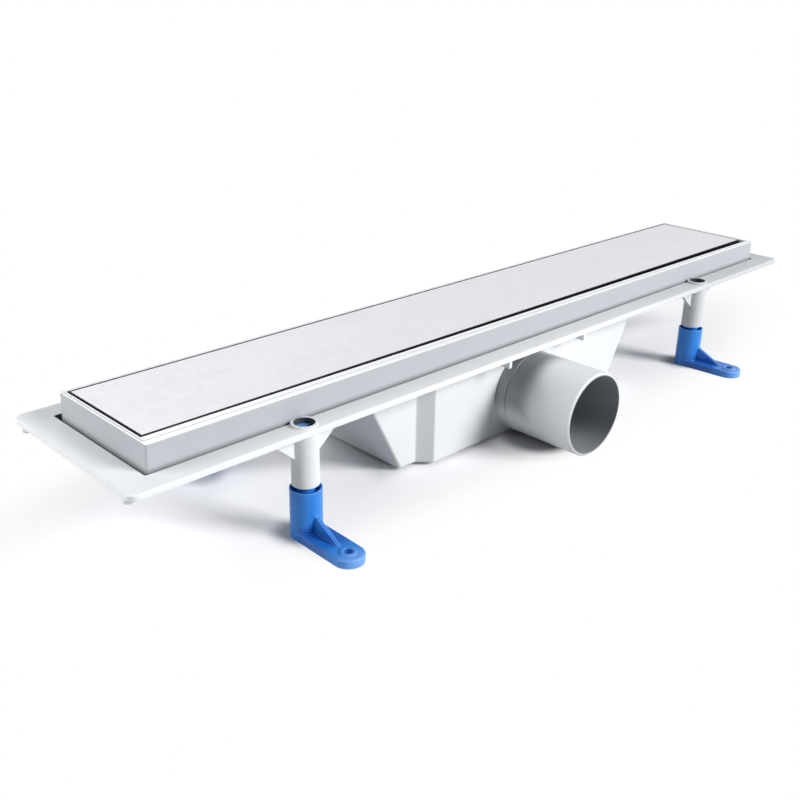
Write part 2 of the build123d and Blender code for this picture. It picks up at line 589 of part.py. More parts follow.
def siphon_cup():
    """The water cup: it pushes onto the dip tube with a hub ring on vanes."""
    inner = CUP_OD - 2 * CUP_WALL
    hub_id = DIP_TUBE_OD + 2 * CUP_HUB_GAP
    hub_od = hub_id + 2 * CUP_HUB_WALL
    hub_z = CUP_RIM_Z - CUP_HUB_HEIGHT
    cup = drum(CUP_OD, CUP_FLOOR_Z, CUP_RIM_Z, 0, PAN_Y)
    cup -= drum(inner, CUP_FLOOR_Z + CUP_FLOOR_THICK, CUP_RIM_Z + CUT, 0, PAN_Y)
    cup += pipe(hub_od, hub_id, hub_z, CUP_RIM_Z, 0, PAN_Y)
    vane_in = (hub_id + CUP_HUB_WALL) / 2
    vane_out = (inner + CUP_WALL) / 2
    vane = block(vane_in, vane_out, -CUP_VANE_THICK / 2, CUP_VANE_THICK / 2, hub_z, CUP_RIM_Z)
    for i in range(CUP_VANES):
        cup += Pos(0, PAN_Y, 0) * Rot(0, 0, 90 + i * 360 / CUP_VANES) * vane
    return cup


def hair_strainer():
    """The slotted basket that drops into the insert, with a bar across to lift it by."""
    low_z = INSERT_TOP_Z - STRAINER_BASKET_DEPTH
    basket = drum(STRAINER_BASKET_OD, low_z, INSERT_TOP_Z, 0, PAN_Y)
    basket += drum(STRAINER_RIM_OD, INSERT_TOP_Z - STRAINER_RIM_THICK, INSERT_TOP_Z, 0, PAN_Y)
    inner = STRAINER_BASKET_OD - 2 * STRAINER_WALL
    basket -= drum(inner, low_z + STRAINER_WALL, INSERT_TOP_Z + CUT, 0, PAN_Y)
    count = int((inner - 2 * STRAINER_WALL) / STRAINER_SLOT_PITCH / 2)
    for i in range(-count, count + 1):
        x = i * STRAINER_SLOT_PITCH
        room = (inner / 2 - STRAINER_WALL) ** 2 - (abs(x) + STRAINER_SLOT_WIDTH / 2) ** 2
        if room > STRAINER_SLOT_PITCH ** 2:
            reach = room ** 0.5
            half = STRAINER_SLOT_WIDTH / 2
            slot = block(x - half, x + half, -reach, reach, low_z - CUT, low_z + 2 * STRAINER_WALL)
            basket -= Pos(0, PAN_Y, 0) * slot
    bar = block(
        -inner / 2 - STRAINER_WALL / 2, inner / 2 + STRAINER_WALL / 2,
        -STRAINER_BAR_WIDTH / 2, STRAINER_BAR_WIDTH / 2,
        INSERT_TOP_Z - STRAINER_BAR_HEIGHT, INSERT_TOP_Z,
    )
    return basket + Pos(0, PAN_Y, 0) * bar


def all_pieces():
    """Every piece of the drain by its node name."""
    pieces = {
        "channel_pan": channel_pan(),
        "trap_chamber": trap_chamber(),
        "top_frame": top_frame(),
        "cover_panel": cover_panel(),
        "cover_tray": cover_tray(),
        "siphon_insert": siphon_insert(),
        "siphon_seal_ring": siphon_seal_ring(),
        "siphon_cup": siphon_cup(),
        "hair_strainer": hair_strainer(),
    }
    for place, x in (("left", -PAD_END_X), ("middle", 0.0), ("right", PAD_END_X)):
        pieces[f"cover_pad_front_{place}"] = cover_pad(x, TRAY_FRONT_Y, 1)
        pieces[f"cover_pad_back_{place}"] = cover_pad(x, TRAY_BACK_Y, -1)
    for place, x, y, outward in leg_places():
        pieces[f"levelling_screw_{place}"] = levelling_screw(x, y)
        turn = Rot(0, 0, FOOT_TURN.get(place, 0.0))
        pieces[f"levelling_foot_{place}"] = Pos(x, y, 0) * turn * levelling_foot(outward)
    return pieces


os.makedirs("parts", exist_ok=True)
for name, piece in all_pieces().items():
    export_step(piece, f"parts/{name}.step")
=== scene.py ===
"""Looks of a linear shower drain: finishes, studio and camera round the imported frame."""

import logging
import math
from dataclasses import dataclass
from enum import Enum
from typing import Any

import bpy
from mathutils import Matrix, Vector

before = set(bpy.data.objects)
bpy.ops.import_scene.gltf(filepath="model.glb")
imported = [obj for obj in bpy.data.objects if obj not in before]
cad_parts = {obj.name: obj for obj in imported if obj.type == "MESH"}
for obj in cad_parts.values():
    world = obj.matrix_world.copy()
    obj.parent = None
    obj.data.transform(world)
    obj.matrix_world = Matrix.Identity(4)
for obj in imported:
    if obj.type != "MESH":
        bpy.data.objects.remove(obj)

LOG = logging.getLogger("drain")
MM = 0.001
PHOTO_PIXELS = 800.0
# The sRGB curve: straight near black, a power above that.
STRAIGHT_END = 0.04045
STRAIGHT_SLOPE = 12.92
CURVE_SHIFT = 0.055
CURVE_POWER = 2.4
# Painted edge highlights: their reach, and the cosines of the normal's turn where the highlight
# starts and is full.
EDGE_HIGHLIGHT_MM = 0.7
HIGHLIGHT_START_TURN = 0.98
HIGHLIGHT_FULL_TURN = 0.8
# Rays with which a surface looks for an edge near it.
EDGE_SAMPLES = 4
# The span that most of a noise's values lie in.
NOISE_LOW = 0.3
NOISE_HIGH = 0.7
# The outlet's axis, at the middle of its free length.
OUTLET_MIDDLE_MM = (-1.8, -66.0, 26.5)

Colour = tuple[float, float, float, float]
WHITE: Colour = (1.0, 1.0, 1.0, 1.0)


class Place(Enum):
    """Where a levelling leg stands, as its nodes name it."""

    FRONT_LEFT = "front_left"
    FRONT_RIGHT = "front_right"
    BACK_LEFT = "back_left"
    BACK_RIGHT = "back_right"


class Axis(Enum):
    """An axis of the shared frame, with its place in a vector."""

    X = 0
    Y = 1
    Z = 2


def linear(hex_colour: str) -> Colour:
    """Turn an sRGB hex colour into linear RGBA.

    Args:
        hex_colour: Six hex digits after a hash, as a picture editor shows them.

    Returns:
        The colour as Cycles reads it, with an alpha of 1.
    """
    shown = [int(hex_colour[i : i + 2], 16) / 255 for i in (1, 3, 5)]
    red, green, blue = (
        value / STRAIGHT_SLOPE
        if value <= STRAIGHT_END
        else ((value + CURVE_SHIFT) / (1.0 + CURVE_SHIFT)) ** CURVE_POWER
        for value in shown
    )
    return red, green, blue, 1.0


def per_metre(size_mm: float) -> float:
    """Texture scale, in cells a metre, of a pattern with cells of this many millimetres."""
    return 1.0 / (size_mm * MM)


def add_node(
    tree: bpy.types.NodeTree,
    kind: str,
    inputs: dict[str | int, Any] | None = None,
    **settings: Any,
) -> bpy.types.Node:
    """Add a shader node with its settings, input values and links.

    Args:
        tree: The node tree that gets the node.
        kind: The node's Blender type, such as ShaderNodeBump.
        inputs: Input name or number to a value, or to the output socket that feeds it.
        **settings: Properties of the node itself.

    Returns:
        The new node.
    """
    node = tree.nodes.new(kind)
    for name, value in settings.items():
        setattr(node, name, value)
    for key, value in (inputs or {}).items():
        if isinstance(value, bpy.types.NodeSocket):
            tree.links.new(value, node.inputs[key])
        else:
            node.inputs[key].default_value = value
    return node


def new_material(name: str) -> tuple[bpy.types.Material, bpy.types.NodeTree]:
    """Make an empty node material.

    Args:
        name: The material's name.

    Returns:
        The material and its cleared node tree.
    """
    material = bpy.data.materials.new(name)
    material.use_nodes = True
    material.node_tree.nodes.clear()
    return material, material.node_tree


def shine_through(tree: bpy.types.NodeTree, inputs: dict[str | int, Any]) -> None:
    """Add the main shader with these inputs and join it to the output.

    Args:
        tree: The material's node tree.
        inputs: Inputs of the Principled shader.
    """
    shader = add_node(tree, "ShaderNodeBsdfPrincipled", inputs)
    add_node(tree, "ShaderNodeOutputMaterial", {"Surface": shader.outputs["BSDF"]})


def soft_edges(tree: bpy.types.NodeTree, radius_mm: float) -> bpy.types.NodeSocket:
    """Normals that roll over each sharp edge, as a moulded or folded edge does.

    Args:
        tree: The material's node tree.
        radius_mm: The edge's radius.

    Returns:
        The normal output.
    """
    return add_node(
        tree, "ShaderNodeBevel", {"Radius": radius_mm * MM}, samples=EDGE_SAMPLES
    ).outputs["Normal"]


def sharp_edges(tree: bpy.types.NodeTree, width_mm: float) -> bpy.types.NodeSocket:
    """One along the sharp edges, zero on the faces.

    Args:
        tree: The material's node tree.
        width_mm: How far from an edge it reaches.

    Returns:
        The factor's output.
    """
    flat = add_node(tree, "ShaderNodeNewGeometry").outputs["Normal"]
    turned = add_node(
        tree,
        "ShaderNodeVectorMath",
        {0: flat, 1: soft_edges(tree, width_mm)},
        operation="DOT_PRODUCT",
    )
    return add_node(
        tree,
        "ShaderNodeMapRange",
        {
            "Value": turned.outputs["Value"],
            "From Min": HIGHLIGHT_FULL_TURN,
            "From Max": HIGHLIGHT_START_TURN,
            "To Min": 1.0,
            "To Max": 0.0,
        },
    ).outputs["Result"]


def laid_over(
    tree: bpy.types.NodeTree,
    below: bpy.types.NodeSocket,
    colour: str,
    where: bpy.types.NodeSocket,
) -> bpy.types.NodeSocket:
    """Lay a colour over another one.

    Args:
        tree: The material's node tree.
        below: The colour under it.
        colour: The colour laid over, as sRGB hex.
        where: One where it covers, zero where it doesn't.

    Returns:
        The mixed colour.
    """
    mixed = add_node(
        tree,
        "ShaderNodeMix",
        {"Factor": where, "A": below, "B": linear(colour)},
        data_type="RGBA",
    )
    return mixed.outputs["Result"]


def faces_up(
    tree: bpy.types.NodeTree, low: float, high: float, lean: float = 0.0
) -> bpy.types.NodeSocket:
    """One on the faces that look up, zero on the sides.

    Args:
        tree: The material's node tree.
        low: The normal's height up to which a face is a side.
        high: The normal's height from which a face looks up.
        lean: How much a face that also looks back or right counts as higher.

    Returns:
        The factor's output.
    """
    normal = add_node(tree, "ShaderNodeTexCoord").outputs["Normal"]
    height = add_node(
        tree, "ShaderNodeVectorMath", {0: normal, 1: (lean, lean, 1.0)}, operation="DOT_PRODUCT"
    ).outputs["Value"]
    return add_node(
        tree, "ShaderNodeMapRange", {"Value": height, "From Min": low, "From Max": high}
    ).outputs["Result"]


def within(
    tree: bpy.types.NodeTree, outside: bpy.types.NodeSocket, soft_mm: float
) -> bpy.types.NodeSocket:
    """One where a distance is negative, zero where it is positive.

    Args:
        tree: The material's node tree.
        outside: How far outside a space a point is, in metres.
        soft_mm: Width of the soft border inside the space.

    Returns:
        The factor's output.
    """
    return add_node(
        tree,
        "ShaderNodeMapRange",
        {
            "Value": outside,
            "From Min": -soft_mm * MM,
            "From Max": 0.0,
            "To Min": 1.0,
            "To Max": 0.0,
        },
        interpolation_type="SMOOTHSTEP",
    ).outputs["Result"]


def beyond(
    tree: bpy.types.NodeTree, middle_mm: tuple[float, ...], half_mm: tuple[float, ...]
) -> tuple[bpy.types.NodeSocket, ...]:
    """How far a point is beyond a box, along each axis.

    Args:
        tree: The material's node tree.
        middle_mm: The box's middle.
        half_mm: Half its size along each axis.

    Returns:
        Three outputs in metres, negative between the box's faces.
    """
    spot = add_node(tree, "ShaderNodeNewGeometry").outputs["Position"]
    middle = tuple(v * MM for v in middle_mm)
    off = add_node(tree, "ShaderNodeVectorMath", {0: spot, 1: middle}, operation="SUBTRACT")
    size = add_node(tree, "ShaderNodeVectorMath", {0: off.outputs[0]}, operation="ABSOLUTE")
    half = tuple(v * MM for v in half_mm)
    past = add_node(
        tree, "ShaderNodeVectorMath", {0: size.outputs[0], 1: half}, operation="SUBTRACT"
    )
    return tuple(add_node(tree, "ShaderNodeSeparateXYZ", {"Vector": past.outputs[0]}).outputs)


def larger(
    tree: bpy.types.NodeTree, first: bpy.types.NodeSocket, second: bpy.types.NodeSocket
) -> bpy.types.NodeSocket:
    """The larger of two values."""
    return add_node(tree, "ShaderNodeMath", {0: first, 1: second}, operation="MAXIMUM").outputs[0]


@dataclass(frozen=True)
class Pattern:
    """A random pattern that keeps its real size, such as a mould's grain or a brush's lines.

    Attributes:
        size_mm: Size of its cells.
        detail: How many finer layers lie in it.
        layer_strength: How strong each finer layer is.
    """

    size_mm: float
    detail: float
    layer_strength: float = 0.5

    def value(self, tree: bpy.types.NodeTree, place: bpy.types.NodeSocket) -> bpy.types.NodeSocket:
        """Add the pattern.

        Args:
            tree: The material's node tree.
            place: The coordinates that it follows.

        Returns:
            Its value, between zero and one.
        """
        return add_node(
            tree,
            "ShaderNodeTexNoise",
            {
                "Vector": place,
                "Scale": per_metre(self.size_mm),
                "Detail": self.detail,
                "Roughness": self.layer_strength,
            },
        ).outputs["Fac"]


@dataclass(frozen=True)
class TopFaces:
    """The faces of a piece that look up.

    Attributes:
        low: The normal's height up to which a face is a side.
        high: The normal's height from which a face is a top.
    """

    low: float = 0.35
    high: float = 0.7

    def factor(self, tree: bpy.types.NodeTree) -> bpy.types.NodeSocket:
        """One on these faces, zero elsewhere."""
        return faces_up(tree, self.low, self.high)


@dataclass(frozen=True)
class BoxSpace:
    """A straight-sided space, such as the pan's pocket.

    Attributes:
        middle_mm: Its middle.
        half_mm: Half its size along each axis.
        soft_mm: Width of its soft border.
        around: Whether all that is round the space is meant, instead of what is in it.
    """

    middle_mm: tuple[float, float, float]
    half_mm: tuple[float, float, float]
    soft_mm: float = 0.3
    around: bool = False

    def factor(self, tree: bpy.types.NodeTree) -> bpy.types.NodeSocket:
        """One on the surfaces that are meant, zero elsewhere."""
        x, y, z = beyond(tree, self.middle_mm, self.half_mm)
        inside = within(tree, larger(tree, larger(tree, x, y), z), self.soft_mm)
        if not self.around:
            return inside
        return add_node(
            tree, "ShaderNodeMath", {0: 1.0, 1: inside}, operation="SUBTRACT"
        ).outputs[0]


@dataclass(frozen=True)
class RoundSpace:
    """A round space along Y or Z, such as a pipe's bore or a screw's well.

    Attributes:
        middle_mm: Its middle.
        radius_mm: Its radius.
        half_mm: Half its length.
        along: Its axis.
        soft_mm: Width of its soft border.
    """

    middle_mm: tuple[float, float, float]
    radius_mm: float
    half_mm: float
    along: Axis
    soft_mm: float = 0.3

    def factor(self, tree: bpy.types.NodeTree) -> bpy.types.NodeSocket:
        """One on the surfaces in this space, zero elsewhere."""
        half = [0.0, 0.0, 0.0]
        half[self.along.value] = self.half_mm
        outs = list(beyond(tree, self.middle_mm, tuple(half)))
        ends = outs.pop(self.along.value)
        flat = add_node(tree, "ShaderNodeCombineXYZ", {"X": outs[0], "Y": outs[1]})
        reach = add_node(tree, "ShaderNodeVectorMath", {0: flat.outputs[0]}, operation="LENGTH")
        side = add_node(
            tree,
            "ShaderNodeMath",
            {0: reach.outputs["Value"], 1: self.radius_mm * MM},
            operation="SUBTRACT",
        )
        return within(tree, larger(tree, side.outputs[0], ends), self.soft_mm)


@dataclass(frozen=True)
class Overlap:
    """What two spaces have in common.

    Attributes:
        first: One space.
        second: The other one.
    """

    first: BoxSpace | RoundSpace
    second: BoxSpace | RoundSpace

    def factor(self, tree: bpy.types.NodeTree) -> bpy.types.NodeSocket:
        """One on the surfaces in both spaces, zero elsewhere."""
        return add_node(
            tree,
            "ShaderNodeMath",
            {0: self.first.factor(tree), 1: self.second.factor(tree)},
            operation="MULTIPLY",
        ).outputs[0]


@dataclass(frozen=True)
class Tint:
    """A colour painted over part of a moulding as light or shade: paler where light catches it,
    darker where it lies in its own shade.

    Attributes:
        colour: The colour as sRGB hex.
        space: Where it covers the piece.
    """

    colour: str
    space: TopFaces | BoxSpace | RoundSpace | Overlap


@dataclass(frozen=True)
class MouldedPlastic:
    """An injection-moulded plastic: even colour, faint flow clouds and a fine spark-eroded grain.

    Attributes:
        name: What the material is.
        colour: Its body colour as sRGB hex.
        cloud: The colour of the faint flow clouds in it.
        roughness: Middle roughness of the skin.
        ior: Refractive index of the polymer.
        specular: How strongly the skin mirrors, 0.5 for a bare polymer.
        tints: Colours over parts of the piece.
        edge_highlight: The paler colour painted on its outer edges as a highlight, or None where
            they are as the faces.
        grain_mm: Size of the mould's surface grain.
        cloud_mm: Size of the flow clouds.
        grain_depth_mm: How deep the grain is.
        grain_strength: How strongly the grain turns the light.
        roughness_spread: How far the grain moves the roughness each way.
        edge_mm: Radius of the moulded edges.
        scatter: Share of light that the body scatters below its skin.
        scatter_mm: How far that light travels.
    """

    name: str
    colour: str
    cloud: str
    roughness: float
    ior: float
    specular: float = 0.5
    tints: tuple[Tint, ...] = ()
    edge_highlight: str | None = None
    grain_mm: float = 0.9
    cloud_mm: float = 45.0
    grain_depth_mm: float = 0.012
    grain_strength: float = 0.6
    roughness_spread: float = 0.04
    edge_mm: float = 0.35
    scatter: float = 0.0
    scatter_mm: float = 1.5

    def build(self) -> bpy.types.Material:
        """Make the material.

        Returns:
            The material, ready to assign.
        """
        material, tree = new_material(self.name)
        place = add_node(tree, "ShaderNodeTexCoord").outputs["Object"]
        grain = Pattern(self.grain_mm, detail=2.0, layer_strength=0.6).value(tree, place)
        roughness = add_node(
            tree,
            "ShaderNodeMapRange",
            {
                "Value": grain,
                "From Min": NOISE_LOW,
                "From Max": NOISE_HIGH,
                "To Min": self.roughness - self.roughness_spread,
                "To Max": self.roughness + self.roughness_spread,
            },
        )
        bump = add_node(
            tree,
            "ShaderNodeBump",
            {
                "Height": grain,
                "Distance": self.grain_depth_mm * MM,
                "Strength": self.grain_strength,
                "Normal": soft_edges(tree, self.edge_mm),
            },
        )
        shine_through(
            tree,
            {
                "Base Color": self.body_colour(tree, place),
                "Roughness": roughness.outputs["Result"],
                "IOR": self.ior,
                "Specular IOR Level": self.specular,
                "Subsurface Weight": self.scatter,
                "Subsurface Radius": (1.0, 1.0, 1.0),
                "Subsurface Scale": self.scatter_mm * MM,
                "Normal": bump.outputs["Normal"],
            },
        )
        return material

    def body_colour(
        self, tree: bpy.types.NodeTree, place: bpy.types.NodeSocket
    ) -> bpy.types.NodeSocket:
        """Mix the clouded body colour, the tints of painted light and shade, and the edges painted
        pale as a highlight.

        Args:
            tree: The material's node tree.
            place: The coordinates that the clouds follow.

        Returns:
            The colour's output.
        """
        clouds = Pattern(self.cloud_mm, detail=3.0, layer_strength=0.55).value(tree, place)
        body = add_node(
            tree,
            "ShaderNodeMix",
            {"Factor": clouds, "A": linear(self.colour), "B": linear(self.cloud)},
            data_type="RGBA",
        ).outputs["Result"]
        for tint in self.tints:
            body = laid_over(tree, body, tint.colour, tint.space.factor(tree))
        # Painted highlight: a paler colour laid along the sharp edges.
        if self.edge_highlight:
            body = laid_over(tree, body, self.edge_highlight, sharp_edges(tree, EDGE_HIGHLIGHT_MM))
        return body


@dataclass(frozen=True)
class CoatedGlass:
    """Toughened glass with a white coat behind it: a clean face over a faintly clouded white.

    Attributes:
        name: What the material is.
        colour: The coat's colour as sRGB hex.
        cloud: The colour of the pale clouds.
        edge: The colour of the ground edge, painted dark because no light leaves the glass there;
            it is painted shade on the chamfers that look front or left too, where it darkens the
            gap round the panel.
        roughness: Roughness of the face.
        ior: Refractive index of the glass.
        specular: How strongly its face mirrors, under 0.5 because it is a little matt.
        cloud_mm: Size of the clouds.
        speck_mm: Size of the fine mottling inside them.
        cloud_from: The clouds' and mottling's product up to which the coat is clear.
        cloud_to: Their product from which it has the clouds' colour.
        edge_mm: Radius of its edges.
    """

    name: str
    colour: str
    cloud: str
    edge: str
    roughness: float
    ior: float = 1.52
    specular: float = 0.3
    cloud_mm: float = 38.0
    speck_mm: float = 3.0
    cloud_from: float = 0.18
    cloud_to: float = 0.36
    edge_mm: float = 0.15

    def build(self) -> bpy.types.Material:
        """Make the material.

        Returns:
            The material, ready to assign.
        """
        material, tree = new_material(self.name)
        place = add_node(tree, "ShaderNodeTexCoord").outputs["Object"]
        # Painted shade: the dark edge colour covers the ground edges and the chamfers that look
        # front or left.
        shown = add_node(
            tree,
            "ShaderNodeMix",
            {
                "Factor": faces_up(tree, low=0.6, high=0.8, lean=0.3),
                "A": linear(self.edge),
                "B": self.coat_colour(tree, place),
            },
            data_type="RGBA",
        )
        shine_through(
            tree,
            {
                "Base Color": shown.outputs["Result"],
                "Roughness": self.roughness,
                "IOR": self.ior,
                "Specular IOR Level": self.specular,
                "Normal": soft_edges(tree, self.edge_mm),
            },
        )
        return material

    def coat_colour(
        self, tree: bpy.types.NodeTree, place: bpy.types.NodeSocket
    ) -> bpy.types.NodeSocket:
        """Mix the white coat with its clouds.

        Args:
            tree: The material's node tree.
            place: The coordinates that the clouds follow.

        Returns:
            The colour's output.
        """
        clouds = Pattern(self.cloud_mm, detail=5.0, layer_strength=0.62).value(tree, place)
        specks = Pattern(self.speck_mm, detail=2.0).value(tree, place)
        blend = add_node(tree, "ShaderNodeMath", {0: clouds, 1: specks}, operation="MULTIPLY")
        share = add_node(
            tree,
            "ShaderNodeMapRange",
            {
                "Value": blend.outputs["Value"],
                "From Min": self.cloud_from,
                "From Max": self.cloud_to,
            },
        ).outputs["Result"]
        return add_node(
            tree,
            "ShaderNodeMix",
            {"Factor": share, "A": linear(self.colour), "B": linear(self.cloud)},
            data_type="RGBA",
        ).outputs["Result"]


@dataclass(frozen=True)
class BrushedSheet:
    """Stainless sheet, brushed along its length: fine lines that stretch its reflections.

    Attributes:
        name: What the material is.
        colour: Reflection colour as sRGB hex.
        roughness: Middle roughness.
        roughness_spread: How far the lines move the roughness each way.
        line_mm: Width of a brush line. Real lines are finer than the render shows.
        line_depth_mm: How deep a line is.
        line_strength: How strongly the lines turn the light.
        stretch: How much longer than wide a line is.
        anisotropy: How far the lines stretch a reflection.
        edge_mm: Radius of the sheet's edges.
    """

    name: str
    colour: str
    roughness: float
    roughness_spread: float = 0.08
    line_mm: float = 0.25
    line_depth_mm: float = 0.01
    line_strength: float = 0.35
    stretch: float = 60.0
    anisotropy: float = 0.5
    edge_mm: float = 0.3

    def build(self) -> bpy.types.Material:
        """Make the material.

        Returns:
            The material, ready to assign.
        """
        material, tree = new_material(self.name)
        place = add_node(tree, "ShaderNodeTexCoord").outputs["Object"]
        along = add_node(
            tree, "ShaderNodeMapping", {"Vector": place, "Scale": (1.0 / self.stretch, 1.0, 1.0)}
        )
        lines = Pattern(self.line_mm, detail=2.0).value(tree, along.outputs["Vector"])
        roughness = add_node(
            tree,
            "ShaderNodeMapRange",
            {
                "Value": lines,
                "To Min": self.roughness - self.roughness_spread,
                "To Max": self.roughness + self.roughness_spread,
            },
        )
        bump = add_node(
            tree,
            "ShaderNodeBump",
            {
                "Height": lines,
                "Distance": self.line_depth_mm * MM,
                "Strength": self.line_strength,
                "Normal": soft_edges(tree, self.edge_mm),
            },
        )
        shine_through(
            tree,
            {
                "Base Color": linear(self.colour),
                "Metallic": 1.0,
                "Roughness": roughness.outputs["Result"],
                "Anisotropic": self.anisotropy,
                "Normal": bump.outputs["Normal"],
            },
        )
        return material


# The shaded insides: the pocket round the frame, the wells of the four screws, the outlet's bore.
POCKET_SHADE = Tint("#5E6065", BoxSpace((0.0, 2.0, 56.6), (260.4, 41.8, 3.2)))
WELL_SHADES = tuple(
    Tint("#45474C", RoundSpace((x, y, 58.6), radius_mm=5.5, half_mm=3.0, along=Axis.Z))
    for x in (-177.2, 173.6)
    for y in (-44.2, 48.2)
)
# The flange's outer edge, painted a little paler than its faces: a painted highlight.
FLANGE_EDGE_HIGHLIGHT = Tint(
    "#ECEEEF", BoxSpace((0.0, 2.0, 50.0), (274.2, 53.75, 30.0), soft_mm=0.4, around=True)
)
# The pan's right end, painted a little greyer than its left one as painted shade.
RIGHT_END_SHADE = Tint(
    "#CCCFD2", BoxSpace((400.0, 0.0, 0.0), (380.0, 300.0, 300.0), soft_mm=210.0)
)
# The root of the pipe, dim in the lee of the flange, and the pipe's inside.
ROOT_SHADE = Tint(
    "#94979B",
    Overlap(
        BoxSpace((-24.0, -40.0, 42.0), (34.0, 23.5, 25.0), soft_mm=13.0),
        RoundSpace(OUTLET_MIDDLE_MM, radius_mm=26.0, half_mm=34.0, along=Axis.Y),
    ),
)
BORE_SHADE = Tint(
    "#989B9F", RoundSpace(OUTLET_MIDDLE_MM, radius_mm=23.9, half_mm=50.0, along=Axis.Y)
)
# Pan: light grey polypropylene, moulded in a satin tool. Soft broad highlights.
PAN_PLASTIC = MouldedPlastic(
    name="light_grey_moulded_polypropylene",
    colour="#E8EBEC",
    cloud="#E3E6E8",
    roughness=0.46,
    ior=1.49,
    specular=0.28,
    tints=(FLANGE_EDGE_HIGHLIGHT, RIGHT_END_SHADE, POCKET_SHADE, *WELL_SHADES),
    scatter=0.06,
)
# Trap chamber: the same grey polypropylene, with the dim inside of its pipe.
TRAP_PLASTIC = MouldedPlastic(
    name="light_grey_moulded_polypropylene_trap",
    colour="#E5E8E9",
    cloud="#E0E3E5",
    roughness=0.46,
    ior=1.49,
    specular=0.28,
    tints=(ROOT_SHADE, BORE_SHADE),
    edge_mm=0.5,
    scatter=0.06,
)
# The frame's rim, painted pale on its top faces as painted light, its inner walls, painted dim as
# shade behind the cover, and its foot, painted darker where shade gathers.
FRAME_TOP_LIGHT = Tint("#F7F8FA", TopFaces())
FRAME_INSIDE = Tint(
    "#3A3C40", BoxSpace((-0.35, 1.25, 60.0), (255.25, 35.4, 13.33), soft_mm=0.1)
)
FRAME_FOOT = Tint("#86898E", BoxSpace((0.0, 0.0, 55.0), (300.0, 60.0, 8.0), soft_mm=4.5))
# Frame: cooler grey ABS, moulded smoother than the pan, with painted light on its rim's top faces
# and a painted highlight along its edges.
FRAME_PLASTIC = MouldedPlastic(
    name="cool_grey_moulded_abs",
    colour="#BABDC2",
    cloud="#B5B8BD",
    roughness=0.38,
    ior=1.54,
    specular=0.3,
    tints=(FRAME_TOP_LIGHT, FRAME_FOOT, FRAME_INSIDE),
    # Its edges are painted paler: a painted highlight along them.
    edge_highlight="#DDE0E4",
    edge_mm=0.3,
)
# Insert and cup: plain grey ABS, matter because nothing polishes them.
INSERT_PLASTIC = MouldedPlastic(
    name="plain_grey_moulded_abs",
    colour="#B9BDC1",
    cloud="#B2B7BB",
    roughness=0.44,
    ior=1.54,
)
# The feet's lugs: painted paler towards their tips as painted light, and painted darker in the
# corner by the tube as painted shade.
LUG_TIP_LIGHT = Tint(
    "#74ABF2", BoxSpace((0.0, 2.0, 0.0), (400.0, 89.0, 60.0), soft_mm=15.0, around=True)
)
LUG_CORNER_SHADES = tuple(
    Tint("#1F6CC8", BoxSpace((0.0, y, 1.0), (200.0, 14.0, 9.0), soft_mm=6.0))
    for y in (-57.0, 61.0)
)
# Feet and screws: blue polypropylene, glossy and a little see-into.
BLUE_PLASTIC = MouldedPlastic(
    name="blue_moulded_polypropylene",
    colour="#2F8AE4",
    cloud="#2B85DE",
    roughness=0.3,
    ior=1.49,
    specular=0.42,
    tints=(LUG_TIP_LIGHT, *LUG_CORNER_SHADES),
    # Its edges are painted paler: a painted highlight along them.
    edge_highlight="#8FBEF8",
    grain_mm=1.2,
    grain_depth_mm=0.004,
    edge_mm=0.5,
    scatter=0.18,
    scatter_mm=2.0,
)
# Seal and pads: black EPDM rubber, moulded, dull.
RUBBER = MouldedPlastic(
    name="black_moulded_epdm",
    colour="#1B1B1C",
    cloud="#212122",
    roughness=0.7,
    ior=1.5,
    cloud_mm=12.0,
)
COVER_GLASS = CoatedGlass(
    name="white_coated_glass",
    colour="#E9E8ED",
    cloud="#E3E2E8",
    edge="#0B0B0D",
    roughness=0.32,
)
TRAY_STEEL = BrushedSheet(name="plain_stainless_sheet", colour="#B9BABC", roughness=0.34)
STRAINER_STEEL = BrushedSheet(name="brushed_stainless_sheet", colour="#C6C7C9", roughness=0.26)


# Painted shadow under the feet, where their own shadows fall: a little left of each leg, towards
# the middle.
FOOT_SHADE_SPACES = tuple(
    RoundSpace((x, y, 0.0), radius_mm=17.5, half_mm=30.0, along=Axis.Z, soft_mm=12.0)
    for x in (-180.2, 170.6)
    for y in (-39.2, 43.2)
)
# Painted shadow under the chamber and under the root of the pipe, which all but touch the table.
LOW_SHADE_SPACES = (
    BoxSpace((-3.0, 12.0, 0.0), (116.0, 46.0, 30.0), soft_mm=26.0),
    RoundSpace((-5.0, -51.0, 0.0), radius_mm=26.5, half_mm=30.0, along=Axis.Z, soft_mm=12.0),
)


def dress(node: str, material: bpy.types.Material) -> None:
    """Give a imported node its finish, and report it.

    Args:
        node: The node's name.
        material: The finish.
    """
    mesh_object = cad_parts[node]
    mesh_object.data.materials.clear()
    mesh_object.data.materials.append(material)
    LOG.info("%s: %s", node, material.name)


@dataclass
class PanAssembly:
    """The moulded pan and the trap chamber bonded under it.

    Attributes:
        pan: The pan's node.
        chamber: The chamber's node.
    """

    pan: str = "channel_pan"
    chamber: str = "trap_chamber"

    def build(self) -> None:
        """Dress both mouldings."""
        dress(self.pan, PAN_PLASTIC.build())
        dress(self.chamber, TRAP_PLASTIC.build())


